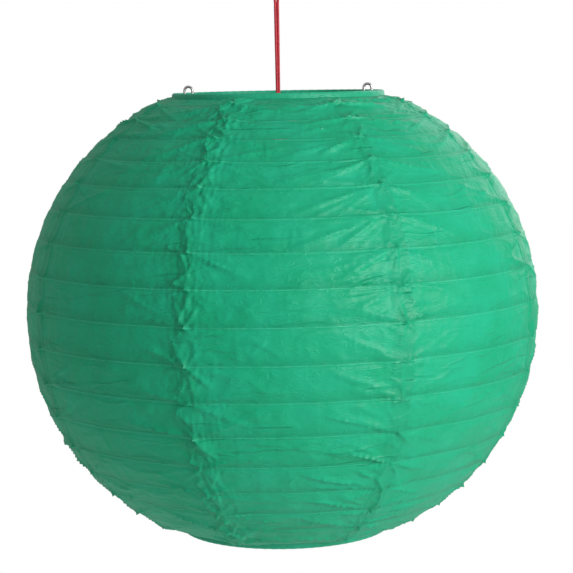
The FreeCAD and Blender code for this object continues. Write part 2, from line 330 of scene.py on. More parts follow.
def tissue_finish(name, thin, deep, through, gore_sheet, letting_through):
    """Dyed tissue: mottled colour, fibres, small folds, and light that comes through it.
    As a gore's own sheet it also has painted shade in a blotchy band just above each
    hoop, and a painted highlight in a line just below the hoop."""
    # the lap share darkens overlaps, partly for the doubled dye and partly as painted shade
    pale_strands, pale_folds, lap_dye_and_painted_shade = 0.14, 0.12, 0.30
    # strengths of the painted shade above each hoop and of the painted highlight just below
    # it
    painted_shade_above_hoops, painted_highlight_below_hoops = 0.36, 0.55
    made, tree, shader = new_finish(name, deep)
    place = object_place(tree)
    dye = place_effect(tree, uneven_dye, ("Vector", place), ("Patches", 30.0),
                       ("Contrast", 0.22))
    lie = place_effect(tree, fibres, ("Vector", place), ("Density", 420.0))
    if gore_sheet:
        cut = put(tree, "ShaderNodeUVMap", uv_map="cut", out="UV")
        long_folds = place_effect(tree, crinkle, ("Facets", 58.0), ("Wander", 0.010),
                                  ("Kept", 0.36),
                                  ("Vector", scaled(tree, cut, (0.55, 1.15, 1.0),
                                                    (0, 0, -0.16))))
        folds = place_effect(tree, crinkle, ("Vector", cut), ("Facets", 190.0),
                             ("Wander", 0.004), ("Kept", 0.5))
    else:
        long_folds = None
        folds = place_effect(tree, crinkle, ("Vector", place), ("Facets", 240.0),
                             ("Wander", 0.004), ("Kept", 0.7))
    colour = colour_mix(tree, dye["Pooled"], (*thin, 1), (*deep, 1))
    pale = [min(1.0, channel * 1.25) for channel in thin]
    for paler, share in ((lie["Strands"], pale_strands), (folds["Folds"], pale_folds)):
        colour = colour_mix(tree, reckon(tree, "MULTIPLY", paler, share), colour, (*pale, 1))
    # where two sheets overlap the colour is darker: partly the doubled dye, partly painted
    # shade for the light that passes through two sheets less
    lapped = put(tree, "ShaderNodeAttribute", attribute_name="lapped", out="Fac")
    darker = [channel * 0.80 for channel in deep]
    colour = colour_mix(tree, reckon(tree, "MULTIPLY", lapped, lap_dye_and_painted_shade), colour,
                        (*darker, 1))
    light = colour_mix(tree, dye["Pooled"], (*through, 1),
                       (*[channel * 0.82 for channel in through], 1))
    light = colour_mix(tree, reckon(tree, "MULTIPLY", lie["Strands"], 0.12), light,
                       (*[channel * 0.7 for channel in through], 1))
    if gore_sheet:
        sheet_uv = put(tree, "ShaderNodeUVMap", uv_map="UVMap", out="UV")
        rise = put(tree, "ShaderNodeSeparateXYZ", ("Vector", sheet_uv), out=1)
        up_the_gap = reckon(tree, "FRACT", reckon(tree, "MULTIPLY", rise, HOOPS + 1.0))
        # painted shade: a darker band just above each hoop, fading upward, broken up by
        # blotch
        shade_above_hoop = reckon(tree, "MULTIPLY", span(tree, up_the_gap, 0.0, 0.035),
                      span(tree, up_the_gap, 0.05, 0.36, 1.0, 0.0))
        blotch = noise(tree, place, 160.0, 2.0, 0.6)
        shade_above_hoop = reckon(tree, "MULTIPLY", shade_above_hoop, span(tree, blotch, 0.3, 0.6, 0.45, 1.0))
        colour = colour_mix(tree, reckon(tree, "MULTIPLY", shade_above_hoop, painted_shade_above_hoops), colour,
                            (*[channel * 0.55 for channel in deep], 1))
        # painted highlight: a pale line just below each hoop, broken up by blotch
        highlight_below_hoop = reckon(tree, "MULTIPLY", span(tree, up_the_gap, 0.955, 0.985),
                        span(tree, blotch, 0.35, 0.6, 0.2, 1.0))
        colour = colour_mix(tree, reckon(tree, "MULTIPLY", highlight_below_hoop, painted_highlight_below_hoops), colour,
                            (*[min(1.0, channel + 0.12) for channel in pale], 1))
    tree.links.new(colour, shader.inputs["Base Color"])
    rough = span(tree, dye["Pooled"], 0.0, 1.0, 0.52, 0.44)
    tree.links.new(rough, shader.inputs["Roughness"])
    shader.inputs["Specular IOR Level"].default_value = 0.36
    relief = bumped(tree, folds["Height"], 0.26 * MM, 0.8)
    if long_folds:
        relief = bumped(tree, long_folds["Height"], 0.75 * MM, 0.9, relief)
    relief = bumped(tree, reckon(tree, "ADD", lie["Strands"], lie["Grain"]), 0.03 * MM,
                    0.5, relief)
    tree.links.new(relief, shader.inputs["Normal"])
    glow = put(tree, "ShaderNodeBsdfTranslucent", ("Color", light), ("Normal", relief))
    mixed = put(tree, "ShaderNodeMixShader", (0, letting_through),
                (1, shader.outputs[0]), (2, glow))
    tree.links.new(mixed, tree.nodes["Material Output"].inputs["Surface"])
    return made


def wire_finish(name, bright, dull, rough, film, lines=1500.0, painted_dark_rims=0.0):
    """Drawn wire: bright metal under a dull film, scuffed, and, if asked, painted dark at its
    rims where it turns away from the camera, as a painted dark edge of its reflection.
    """
    made, tree, shader = new_finish(name, dull)
    worn = place_effect(tree, drawn_metal, ("Vector", object_place(tree)), ("Film", film),
                        ("Die Lines", lines))
    colour = colour_mix(tree, worn["Film"], (*bright, 1), (*dull, 1))
    colour = colour_mix(tree, reckon(tree, "MULTIPLY", worn["Scuff"], 0.5), colour,
                        (*[min(1.0, channel * 1.5) for channel in bright], 1))
    # painted reflection: darker where the wire turns away from the camera, for the dark edges
    # of a bright wire's reflection
    if painted_dark_rims:
        turned_away = put(tree, "ShaderNodeLayerWeight", ("Blend", 0.5), out=1)
        painted_rim_shade = span(tree, turned_away, 0.35, 0.85, 0.0, painted_dark_rims)
        colour = colour_mix(tree, painted_rim_shade, colour, (0.02, 0.02, 0.02, 1))
    tree.links.new(colour, shader.inputs["Base Color"])
    tree.links.new(span(tree, worn["Film"], 0.0, 1.0, rough, rough + 0.22),
                   shader.inputs["Roughness"])
    tree.links.new(span(tree, worn["Film"], 0.0, 1.0, 1.0, 0.82), shader.inputs["Metallic"])
    tree.links.new(bumped(tree, worn["Height"], 0.02 * MM, 0.6), shader.inputs["Normal"])
    return made


def thread_finish(name, shade, deep):
    """Lustrous dyed thread: fine filaments run along each ply."""
    made, tree, shader = new_finish(name, deep)
    place = object_place(tree)
    lay = put(tree, "ShaderNodeUVMap", uv_map="UVMap", out="UV")
    filaments = noise(tree, scaled(tree, lay, (60.0, 900.0, 1.0), (0, 0, 0.25)), 1.0,
                      3.0, 0.6)
    tone = noise(tree, place, 260.0, 3.0, 0.6)
    share = span(tree, reckon(tree, "ADD", reckon(tree, "MULTIPLY", filaments, 0.6),
                              reckon(tree, "MULTIPLY", tone, 0.4)), 0.35, 0.65)
    tree.links.new(colour_mix(tree, share, (*deep, 1), (*shade, 1)),
                   shader.inputs["Base Color"])
    tree.links.new(span(tree, filaments, 0.3, 0.7, 0.52, 0.34), shader.inputs["Roughness"])
    shader.inputs["Sheen Weight"].default_value = 0.25
    shader.inputs["Sheen Roughness"].default_value = 0.4
    tree.links.new(bumped(tree, filaments, 0.06 * MM, 0.7), shader.inputs["Normal"])
    return made


TISSUE_THIN = (0.008, 0.50, 0.272)
TISSUE_DEEP = (0.001, 0.44, 0.205)
TISSUE_THROUGH = (0.14, 0.60, 0.26)

green_tissue = tissue_finish("green tissue", TISSUE_THIN, TISSUE_DEEP, TISSUE_THROUGH,
                             True, 0.20)
edging_paper = tissue_finish("edging paper", (0.025, 0.50, 0.29), (0.008, 0.41, 0.21),
                             TISSUE_THROUGH, False, 0.15)
grey_wire = wire_finish("grey wire", (0.42, 0.42, 0.41), (0.20, 0.20, 0.20), 0.38, 0.55)
# the bright wire gets painted dark rims, standing in for the dark edges of its reflection
bright_wire = wire_finish("bright wire", (0.62, 0.62, 0.61), (0.36, 0.36, 0.35), 0.26, 0.4,
                          painted_dark_rims=0.9)
brassed_steel = wire_finish("brassed steel", (0.80, 0.58, 0.26), (0.50, 0.33, 0.13), 0.22,
                            0.35, 900.0)
red_thread = thread_finish("red thread", (0.62, 0.012, 0.035), (0.36, 0.004, 0.016))

FINISHES = {"grey_wire": grey_wire, "bright_wire": bright_wire,
            "brassed_steel": brassed_steel}
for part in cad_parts.values():
    for mounting in part.material_slots:
        if mounting.material and mounting.material.name in FINISHES:
            mounting.material = FINISHES[mounting.material.name]

# ---------------------------------------------------------------- camera


def hang_camera():
    """A long lens level with the top of the lantern, looking slightly down at its middle."""
    distance, lift, lean = 1.555, math.radians(7.0), math.radians(1.05)
    lens, film_width, aside, upward = 123.7, 36, 0.0078, 0.0382
    back = Vector((0, -math.cos(lift), math.sin(lift)))
    bpy.ops.object.camera_add(location=Vector((0, 0, EQUATOR)) + back * distance)
    camera = bpy.context.object
    camera.name = "studio_camera"
    turn = (-back).to_track_quat("-Z", "Y").to_matrix().to_4x4()
    camera.rotation_euler = turn.to_euler()
    camera.rotation_euler.rotate_axis("Z", -lean)
    camera.data.lens, camera.data.sensor_width = lens, film_width
    camera.data.shift_x, camera.data.shift_y = aside, upward
    camera.data.clip_start, camera.data.clip_end = 0.05, 60
    camera.data.dof.use_dof = False
    bpy.context.scene.camera = camera


drop_selection()
hang_camera()

# ---------------------------------------------------------------- cord, knot

CORD = 2.1 * MM
PLIES = 3
LAY_LENGTH = 5.2 * MM                        # one turn of a ply round the cord
CORD_ROUTE = [
    (-0.70 * MM, -0.98 * MM, -103.0 * MM), (-0.90 * MM, -0.60 * MM, -70.0 * MM),
    (-1.02 * MM, -0.10 * MM, -38.0 * MM), (-1.02 * MM, 0, -28.0 * MM),
    (-2.90 * MM, 0, -23.0 * MM), (-3.20 * MM, 0, -18.8 * MM),
    (3.20 * MM, 0, -18.8 * MM), (2.90 * MM, 0, -23.0 * MM),
    (1.02 * MM, 0, -28.0 * MM), (1.02 * MM, 0.10 * MM, -38.0 * MM),
    (0.90 * MM, 0.60 * MM, -70.0 * MM), (0.70 * MM, 0.98 * MM, -103.0 * MM),
]


def line_through(name, points):
    """Points along the smooth NURBS line that a route of given points controls."""
    data = bpy.data.curves.new(name, "CURVE")
    data.dimensions = "3D"
    run = data.splines.new("NURBS")
    run.points.add(len(points) - 1)
    for point, place in zip(run.points, points):
        point.co = (*place, 1)
    run.order_u = 3
    run.use_endpoint_u = True
    run.resolution_u = 24
    holder = bpy.data.objects.new(name, data)
    bpy.context.scene.collection.objects.link(holder)
    bpy.context.view_layer.update()
    mesh = bpy.data.meshes.new_from_object(holder)
    found = [vertex.co.copy() for vertex in mesh.vertices]
    bpy.data.objects.remove(holder)
    bpy.data.meshes.remove(mesh)
    bpy.data.curves.remove(data)
    return found


def travelled(places):
    """How far along the line each of its points is."""
    return np.r_[0, np.cumsum(np.linalg.norm(np.diff(places, axis=0), axis=1))]


def evenly(points, step):
    """The same line with its points a step apart, for the twist to run evenly."""
    places = np.array([tuple(point) for point in points])
    keep = np.r_[True, np.linalg.norm(np.diff(places, axis=0), axis=1) > 1e-7]
    places = places[keep]
    travel = travelled(places)
    stops = np.linspace(0, travel[-1], max(4, int(round(travel[-1] / step))))
    return np.stack([np.interp(stops, travel, places[:, axis]) for axis in range(3)], 1)


def twisted_cord(name, runs, step):
    """Plies laid up round each run of points: one closed tube per run, in one mesh."""
    radius, round_points, uv_per_metre = CORD / 2, 20, 8
    bpy.ops.mesh.primitive_circle_add(vertices=3, radius=radius)
    piece = bpy.context.object
    piece.name = piece.data.name = name
    vertices, faces, wraps = [], [], []
    for run in runs:
        line = evenly(run, step)
        travel = travelled(line)
        heading = np.gradient(line, axis=0)
        heading /= np.linalg.norm(heading, axis=1)[:, None]
        side = np.cross(heading[0], (0.31, 0.87, 0.17))
        side /= np.linalg.norm(side)
        start = len(vertices)
        for stop, (place, ahead) in enumerate(zip(line, heading)):
            side = side - ahead * (side @ ahead)
            side /= np.linalg.norm(side)
            other = np.cross(ahead, side)
            twist = 2 * math.pi * travel[stop] / LAY_LENGTH
            ending = min(travel[stop], travel[-1] - travel[stop])
            waist = math.sqrt(min(1.0, 0.25 + ending / radius))
            for corner in range(round_points):
                angle = 2 * math.pi * corner / round_points
                ridge = abs(math.cos((angle - twist) * PLIES / 2))
                reach = radius * waist * (0.90 + 0.13 * ridge ** 0.8)
                vertices.append(place + reach * (math.cos(angle) * side
                                                 + math.sin(angle) * other))
                wraps.append(((angle - twist) / (2 * math.pi),
                              travel[stop] * uv_per_metre))
        for stop in range(len(line) - 1):
            for corner in range(round_points):
                beside = (corner + 1) % round_points
                low = start + stop * round_points
                faces.append((low + corner, low + beside, low + round_points + beside,
                              low + round_points + corner))
        last = start + (len(line) - 1) * round_points
        faces.append(tuple(start + corner for corner in reversed(range(round_points))))
        faces.append(tuple(last + corner for corner in range(round_points)))
    mesh = piece.data
    mesh.clear_geometry()
    mesh.from_pydata([tuple(vertex) for vertex in vertices], [], faces)
    layer = mesh.uv_layers.new(name="UVMap")
    corners = np.empty(len(mesh.loops), dtype=np.int64)
    mesh.loops.foreach_get("vertex_index", corners)
    layer.data.foreach_set("uv", np.array(wraps)[corners].astype(np.float32).ravel())
    mesh.update()
    settle(piece)
    smooth(piece, 70)
    dress(piece, red_thread)
    return piece


def tie_knot():
    """A loop round the crossbar's hump, its two legs whipped together by turns above it."""
    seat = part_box("hanger_bar")[1].z - 1.0 * MM
    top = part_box("cord_knot")[1].z
    reach = 2.75 * MM
    loop = [(-0.7 * MM, -0.98 * MM, top - 1.0 * MM), (-0.8 * MM, -1.3 * MM, top - 4.0 * MM),
            (-0.5 * MM, -reach, top - 8.0 * MM), (-0.2 * MM, -reach, seat - 1.2 * MM),
            (0, -1.1 * MM, seat - 2.75 * MM), (0, 1.1 * MM, seat - 2.75 * MM),
            (0.2 * MM, reach, seat - 1.2 * MM), (0.5 * MM, reach, top - 8.0 * MM),
            (0.8 * MM, 1.3 * MM, top - 4.0 * MM), (0.7 * MM, 0.98 * MM, top - 1.0 * MM)]
    turns, per_turn, wrap, whipped = 2.35, 12, 2.42 * MM, 4.75 * MM
    whipping = []
    for step in range(int(turns * per_turn) + 1):
        angle = 2 * math.pi * step / per_turn
        whipping.append((wrap * math.cos(angle), wrap * math.sin(angle),
                         top - 1.15 * MM - whipped * step / (turns * per_turn)))
    runs = [line_through("knot_loop_line", loop), line_through("knot_turns_line", whipping)]
    return twisted_cord("tied_knot", runs, 0.35 * MM)


cord_line = line_through("cord_line", CORD_ROUTE)
cord = twisted_cord("red_cord", [cord_line], 0.3 * MM)
knot = tie_knot()
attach(cord, "cord")
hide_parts("hanging_cord")
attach(knot, "knot")
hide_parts("cord_knot")

# ---------------------------------------------------------------- tissue gores

COLUMNS = 130                                # faces across a gore
# where a gore's rows lie down each gap between two hoops, closer beside the hoops
GAP_STEPS = [0, .02, .05, .09, .145, .205, .27, .335, .40, .465, .53, .595, .66, .725,
             .79, .85, .905, .955]
ROWS = len(GAP_STEPS) * (HOOPS + 1)
UPPER_HALF = (HOOPS + 1) // 2                # gaps above the middle hoop
BELLY_SHARE = 0.022                          # a belly's depth, of its gap's length
BEAD = (1.45, 0.7, 0.48)                     # hollow by a hoop: place, width, depth, mm
DEEPEST_FOLD = -0.22                         # mm; keeps the folds off the hoops

# how hard each seam is puckered, from the front gore's right-hand seam round to its left
SEAM_PUCKER = [0.60, 0.25, 0.5, 1.0, 0.42, 0.8, 0.25, 1.0]


def paper_stations():
    """Radius and height of a gore's inner face at each ring and hoop, top to bottom."""
    skirt = RING_REACH + 0.15 * MM
    stations = [(skirt, TOP_RING - GORE_EDGE)]
    for low, high in hoop_boxes:
        stations.append((high.x + HOOP_CLEARANCE, (low.z + high.z) / 2))
    stations.append((skirt, BASE_RING + GORE_EDGE))
    return np.array(stations)


def swell(share, out_power, in_power):
    """A belly between two hoops, 0 at both and 1 at its fullest."""
    full = out_power / (out_power + in_power)
    most = full ** out_power * (1 - full) ** in_power
    return share ** out_power * (1 - share) ** in_power / most


def ripple(places, seed, longest):
    """A smooth wandering value about 0, mostly within -1 to 1."""
    terms = 5
    draw = np.random.RandomState(seed)
    total = np.zeros_like(places, dtype=float)
    for _ in range(terms):
        wave = longest * draw.uniform(0.35, 1.0)
        total += draw.uniform(0.5, 1.0) * np.sin(2 * math.pi * places / wave
                                                 + draw.uniform(0, 6.283))
    return total / (0.6 * terms)


def facets(across, down, seed, sizes, terms=6):
    """Flat facets that meet in sharp folds, as crumpled paper has, from 0 to about 1."""
    draw = np.random.RandomState(seed)
    bent_across = across + 2.2 * np.sin(down / 9.0 + draw.uniform(0, 6.3)) \
        + 1.3 * np.sin(down / 3.7 + draw.uniform(0, 6.3))
    bent_down = down + 2.0 * np.sin(across / 8.0 + draw.uniform(0, 6.3)) \
        + 1.2 * np.sin(across / 4.3 + draw.uniform(0, 6.3))
    total = np.zeros_like(across)
    weight = 0.0
    for _ in range(terms):
        heading = draw.uniform(0, math.pi)
        size = draw.uniform(*sizes)
        share = size / sizes[1]
        run = (bent_across * math.cos(heading) + bent_down * math.sin(heading)) / size
        total += share * np.abs(2 * np.mod(run + draw.uniform(0, 1), 1.0) - 1)
        weight += share
    return total / weight * 1.6 - 0.3


def crease(field, across, down, middle, slope, length, height, width):
    """Adds one fold's crest to the field: middle in mm, slope in degrees. It fades towards
    its ends, and falls faster on one side than on the other."""
    gentle_side, steep_side, crispness = 0.75, 1.7, 1.5
    turn = math.radians(slope)
    near = (np.abs(across - middle[0]) < length) & (np.abs(down - middle[1]) < length)
    if not near.any():
        return
    x, y = across[near] - middle[0], middle[1] - down[near]
    along = (x * math.cos(turn) + y * math.sin(turn)) / (length / 2)
    off = (-x * math.sin(turn) + y * math.cos(turn)) / width
    off = np.where(off > 0, off * gentle_side, -off * steep_side)
    fade = np.clip(1 - along * along, 0, 1) ** 1.2
    field[near] += crispness * height * fade * np.exp(-off)


def seam_field(seam, across, down, to_hoop, hoop_levels):
    """Puckers, fans and crumples along one seam; across is measured from its middle.
    Stars of short creases and long fans start at the hoops, and crumples fill the gaps."""
    stars, fans = 8, 3
    pucker = SEAM_PUCKER[seam]
    draw = np.random.RandomState(300 + seam)
    near = np.exp(-(across / (11 + 5 * pucker)) ** 2)
    free = 1 - 0.6 * np.exp(-(to_hoop / 1.8) ** 2)
    field = 1.5 * pucker * near * free * facets(across, down, 330 + seam, (8, 21))
    fine = 0.6 * (0.4 + pucker) * np.exp(-(across / 18) ** 2) * free
    field += fine * facets(across, down, 350 + seam, (3.6, 8))
    pleats = np.abs(np.sin(across / (1.5 + 0.35 * np.sin(down / 31 + seam))
                           + 1.3 * np.sin(down / 17)))
    reach = 16 + 8 * pucker
    field += (0.34 + 0.2 * pucker) * (1 - pleats) ** 1.4 * np.exp(-(across / reach) ** 2) \
        * np.exp(-(to_hoop / 5.0) ** 2)
    for level in hoop_levels[1:-1]:
        for _ in range(stars):
            slope = draw.uniform(-85, 85)
            length = draw.uniform(14, 30) * (0.7 + 0.5 * pucker)
            side = draw.choice((-1, 1))
            middle = (side * abs(math.cos(math.radians(slope))) * length * 0.32,
                      level - side * math.sin(math.radians(slope)) * length * 0.32)
            crease(field, across, down, middle, slope, length,
                   draw.uniform(0.35, 0.75) * (0.6 + 0.7 * pucker), draw.uniform(0.75, 1.3))
    for count, level in enumerate(hoop_levels[1:-1]):
        for side in (-1, 1):
            for _ in range(fans):
                heading = 1 if (count < HOOPS // 2) == (draw.uniform() < 0.8) else -1
                slope = draw.uniform(3, 24)
                length = draw.uniform(26, 74)
                middle = (side * length * 0.46 * math.cos(math.radians(slope)),
                          level + heading * length * 0.46 * math.sin(math.radians(slope)))
                crease(field, across, down, middle, -side * heading * slope, length,
                       draw.uniform(0.5, 1.15), draw.uniform(0.85, 1.6))
    for upper, lower in zip(hoop_levels[:-1], hoop_levels[1:]):
        for _ in range(int(1 + 3 * pucker)):
            slope = draw.choice((-1, 1)) * draw.uniform(28, 66)
            middle = (draw.uniform(-9, 9), draw.uniform(upper + 4, lower - 4))
            crease(field, across, down, middle, slope, draw.uniform(14, 26),
                   draw.uniform(0.5, 1.1) * pucker, draw.uniform(1.0, 1.8))
    return field


# long folds of the front gore: gap below the hoop, share across from its middle, share
# down the gap, slope in degrees, length, height and width in mm
FRONT_FOLDS = [
    (2, 0.42, 0.55, 14, 46, 0.55, 1.7), (3, 0.30, 0.50, 17, 60, 0.8, 1.9),
    (3, 0.62, 0.40, 22, 40, 0.7, 1.5), (4, 0.20, 0.60, 13, 66, 0.7, 1.9),
    (4, 0.58, 0.45, 24, 48, 0.9, 1.7), (5, 0.35, 0.50, 18, 70, 0.9, 2.0),
    (5, 0.70, 0.38, 30, 40, 0.8, 1.5), (5, -0.15, 0.60, 10, 50, 0.5, 1.8),
    (6, 0.30, 0.55, 20, 72, 1.2, 2.4), (6, 0.62, 0.42, 33, 52, 1.3, 2.0),
    (6, 0.05, 0.40, -14, 44, 0.6, 1.8), (7, 0.55, 0.50, 26, 46, 1.0, 1.9),
    (7, 0.15, 0.55, 9, 60, 0.6, 2.0), (8, 0.60, 0.48, 18, 40, 0.7, 1.7),
    (8, -0.40, 0.50, 38, 24, 0.6, 1.3), (8, -0.44, 0.52, -34, 26, 0.6, 1.3),
    (9, -0.30, 0.48, 42, 26, 0.6, 1.3), (9, -0.26, 0.50, -30, 30, 0.6, 1.4),
    (9, 0.50, 0.55, -12, 40, 0.6, 1.7), (10, -0.36, 0.46, 30, 26, 0.5, 1.3),
    (10, -0.33, 0.52, -40, 24, 0.5, 1.3), (10, 0.55, 0.50, -16, 44, 0.7, 1.7),
    (11, 0.40, 0.52, -15, 56, 0.8, 1.9), (11, 0.68, 0.42, -28, 36, 0.7, 1.5),
    (12, 0.28, 0.50, -14, 60, 0.8, 1.9), (12, 0.62, 0.50, -26, 40, 0.8, 1.6),
    (13, 0.34, 0.52, -17, 54, 0.8, 1.8), (13, 0.70, 0.40, -32, 30, 0.7, 1.4),
    (14, 0.30, 0.50, -14, 48, 0.7, 1.7), (14, 0.64, 0.50, -30, 30, 0.7, 1.4),
    (15, 0.40, 0.52, -18, 40, 0.6, 1.6), (1, 0.30, 0.55, 10, 40, 0.4, 1.5),
]
FRONT_STRENGTH = 1.35


def sheet_field(gore, across, down, to_hoop, hoop_levels, half_width):
    """Handling folds over one gore's open middle."""
    draw = np.random.RandomState(700 + gore)
    free = 1 - 0.75 * np.exp(-(to_hoop / 2.2) ** 2)
    field = 0.85 * facets(across, down, 720 + gore, (11, 34), 7)
    field += 0.30 * facets(across, down, 740 + gore, (4.5, 11), 7)
    for gap, (upper, lower) in enumerate(zip(hoop_levels[:-1], hoop_levels[1:])):
        wide = np.interp((upper + lower) / 2, down[:, 0], half_width[:, 0])
        for _ in range(int(3 + wide / 14)):
            middle = (draw.uniform(-0.92, 0.92) * wide,
                      upper + draw.uniform(0.2, 0.85) * (lower - upper))
            toward = math.copysign(1, middle[0]) * (1 if gap < UPPER_HALF else -1)
            slope = toward * draw.uniform(-8, 42)
            crease(field, across, down, middle, slope, draw.uniform(12, 44),
                   draw.uniform(0.18, 0.55), draw.uniform(0.8, 1.5))
        for _ in range(int(1 + wide / 26)):
            middle = (draw.uniform(-0.9, 0.9) * wide, (upper + lower) / 2)
            crease(field, across, down, middle, draw.uniform(78, 102),
                   (lower - upper) * 1.3, draw.uniform(0.10, 0.26), draw.uniform(0.7, 1.1))
        if gore == 0:
            for fold in FRONT_FOLDS:
                if fold[0] == gap:
                    middle = (fold[1] * wide, upper + fold[2] * (lower - upper))
                    crease(field, across, down, middle, fold[3], fold[4],
                           FRONT_STRENGTH * fold[5], fold[6])
    return (field - 0.5) * free


def cut_gore(gore):
    """One tissue gore, from seam to seam and ring to ring, with its sags and folds. Its
    grid has one row of values per level down it and one column per place across it."""
    outside = (gore + 1) % 2                 # 1 on gores glued over both neighbours
    bpy.ops.mesh.primitive_grid_add(x_subdivisions=COLUMNS, y_subdivisions=ROWS, size=1)
    piece = bpy.context.object
    piece.name = piece.data.name = f"tissue_gore_{gore + 1}"
    flat = points_of(piece)
    column = np.rint((flat[:, 0] + 0.5) * COLUMNS).astype(int)
    row = ROWS - np.rint((flat[:, 1] + 0.5) * ROWS).astype(int)

    stations = paper_stations()
    steps = len(GAP_STEPS)
    gap = np.minimum(np.arange(ROWS + 1) // steps, HOOPS)
    share = np.array(GAP_STEPS + [1.0])[np.arange(ROWS + 1) - gap * steps]
    first, second = stations[gap], stations[gap + 1]
    chord = second - first
    length = np.linalg.norm(chord, axis=1)
    normal = np.stack([-chord[:, 1], chord[:, 0]], 1) / length[:, None]
    line = first + chord * share[:, None]
    travels = travelled(stations) / MM
    all_across = np.ones(COLUMNS + 1)
    down = (travels[gap] + share * length / MM)[:, None] * all_across
    to_hoop = (np.minimum(share, 1 - share) * length / MM)[:, None] * all_across

    even = np.linspace(-1, 1, COLUMNS + 1)
    spread = 1.12 * even - 0.12 * even ** 3
    half_width = (line[:, 0] * HALF_GORE / MM)[:, None] * all_across
    across = half_width * spread
    middle_angle = math.radians(FRONT_GORE + GORE_PITCH * gore)
    half_pitch = math.radians(GORE_PITCH) / 2
    seam_at = (line[:, 0] * half_pitch / MM)[:, None] * all_across
    seam_right, seam_left = gore, (gore - 1) % GORES
    from_right, from_left = across - seam_at, across + seam_at

    # the belly of each gap, fuller in some places than others
    open_sheet = np.clip((np.minimum(-from_right, from_left) - 7) / 10, 0, 1)
    open_sheet = open_sheet ** 2 * (3 - 2 * open_sheet)
    fullness = 1 + 0.40 * ripple(across + 61.0 * gap[:, None], 500 + gore, 70.0) \
        * open_sheet
    held = 1 - 0.35 * np.exp(-(from_right / 9) ** 2) - 0.35 * np.exp(-(from_left / 9) ** 2)
    belly = swell(share, 0.75, 1.15)[:, None] * (BELLY_SHARE * length / MM)[:, None] \
        * fullness * held
    bead = np.exp(-((to_hoop - BEAD[0]) / BEAD[1]) ** 2) * BEAD[2]
    bead[(down < 3) | (down > travels[-1] - 3)] = 0

    folds = sheet_field(gore, across, down, to_hoop, travels, half_width) * open_sheet
    folds = folds + seam_field(seam_right, from_right, down, to_hoop, travels)
    folds = folds + seam_field(seam_left, from_left, down, to_hoop, travels)
    ends = np.clip(np.minimum(down, travels[-1] - down) / 6, 0, 1)
    folds = np.maximum(folds, DEEPEST_FOLD) * ends

    # an outside gore's edges lift and wander, and where the seam is calm they lie down
    lift = np.zeros_like(folds)
    edge_drift = np.zeros_like(folds)
    if outside:
        for seam, sign in ((seam_right, 1), (seam_left, -1)):
            pucker = SEAM_PUCKER[seam]
            to_edge = half_width - sign * across
            loose = np.clip(0.5 + 0.5 * ripple(down, 860 + seam, 60.0), 0, 1)
            lift += 0.40 * max(0.0, pucker - 0.25) * loose * np.exp(-(to_edge / 3.2) ** 2) \
                * (0.35 + 0.65 * np.clip(to_hoop / 5, 0, 1))
            zigzag = np.abs(2 * np.mod(down / 41.0 + 0.3 * ripple(down, 880 + seam, 90.0),
                                       1.0) - 1) - 0.5
            wander = pucker ** 2 * (4.2 * zigzag + 1.4 * ripple(down, 900 + seam, 24.0)) \
                + 0.35 * ripple(down, 920 + seam, 18.0)
            edge_drift += wander * np.exp(-(to_edge / 5.0) ** 2) * ends
    tuck = [float(np.clip((0.6 - SEAM_PUCKER[seam]) / 0.35, 0, 1))
            for seam in (seam_right, seam_left)]
    tucked = 1 - np.where(across > 0, tuck[0], tuck[1]) * 0.93 \
        * np.exp(-((half_width - np.abs(across)) / 1.1) ** 2)
    lap = half_width - seam_at
    doubled = np.clip((np.abs(across) - (seam_at - lap) + 1.6) / 1.4, 0, 1)
    over = outside * LAP_STEP / MM * (doubled * (1 + 0.3 * np.clip(to_hoop / 6, 0, 1))) \
        * (0.8 + 0.2 * ends) * tucked
    push = (belly - bead + folds + lift * ends + over) * MM

    radius = line[:, :1] + normal[:, :1] * push
    height = line[:, 1:] + normal[:, 1:] * push \
        - 0.25 * belly * MM * np.abs(normal[:, :1])
    angle = middle_angle + spread * HALF_GORE + edge_drift * MM / radius
    places = np.stack([radius * np.cos(angle), radius * np.sin(angle), height], -1)
    move_points(piece, places[row, column])

    lapped = np.clip((np.abs(across) - (seam_at - lap) + 0.6) / 1.2, 0, 1)[row, column]
    mark = piece.data.attributes.new("lapped", "FLOAT", "POINT")
    mark.data.foreach_set("value", lapped.astype(np.float32))
    cut = np.stack([across + 400.0 * gore, -down], -1)[row, column] * MM
    corners = np.empty(len(piece.data.loops), dtype=np.int64)
    piece.data.loops.foreach_get("vertex_index", corners)
    layer = piece.data.uv_layers.new(name="cut")
    layer.data.foreach_set("uv", cut[corners].astype(np.float32).ravel())
    settle(piece)
    finish_with(piece, "SOLIDIFY", thickness=PAPER, offset=1.0, use_even_offset=False)
    smooth(piece, 55)
    dress(piece, green_tissue)
    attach(piece, "lantern")
    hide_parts(f"paper_gore_{gore + 1}")
    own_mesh(piece)


drop_selection()
for gore in range(GORES):
    cut_gore(gore)

# ---------------------------------------------------------------- paper edgings


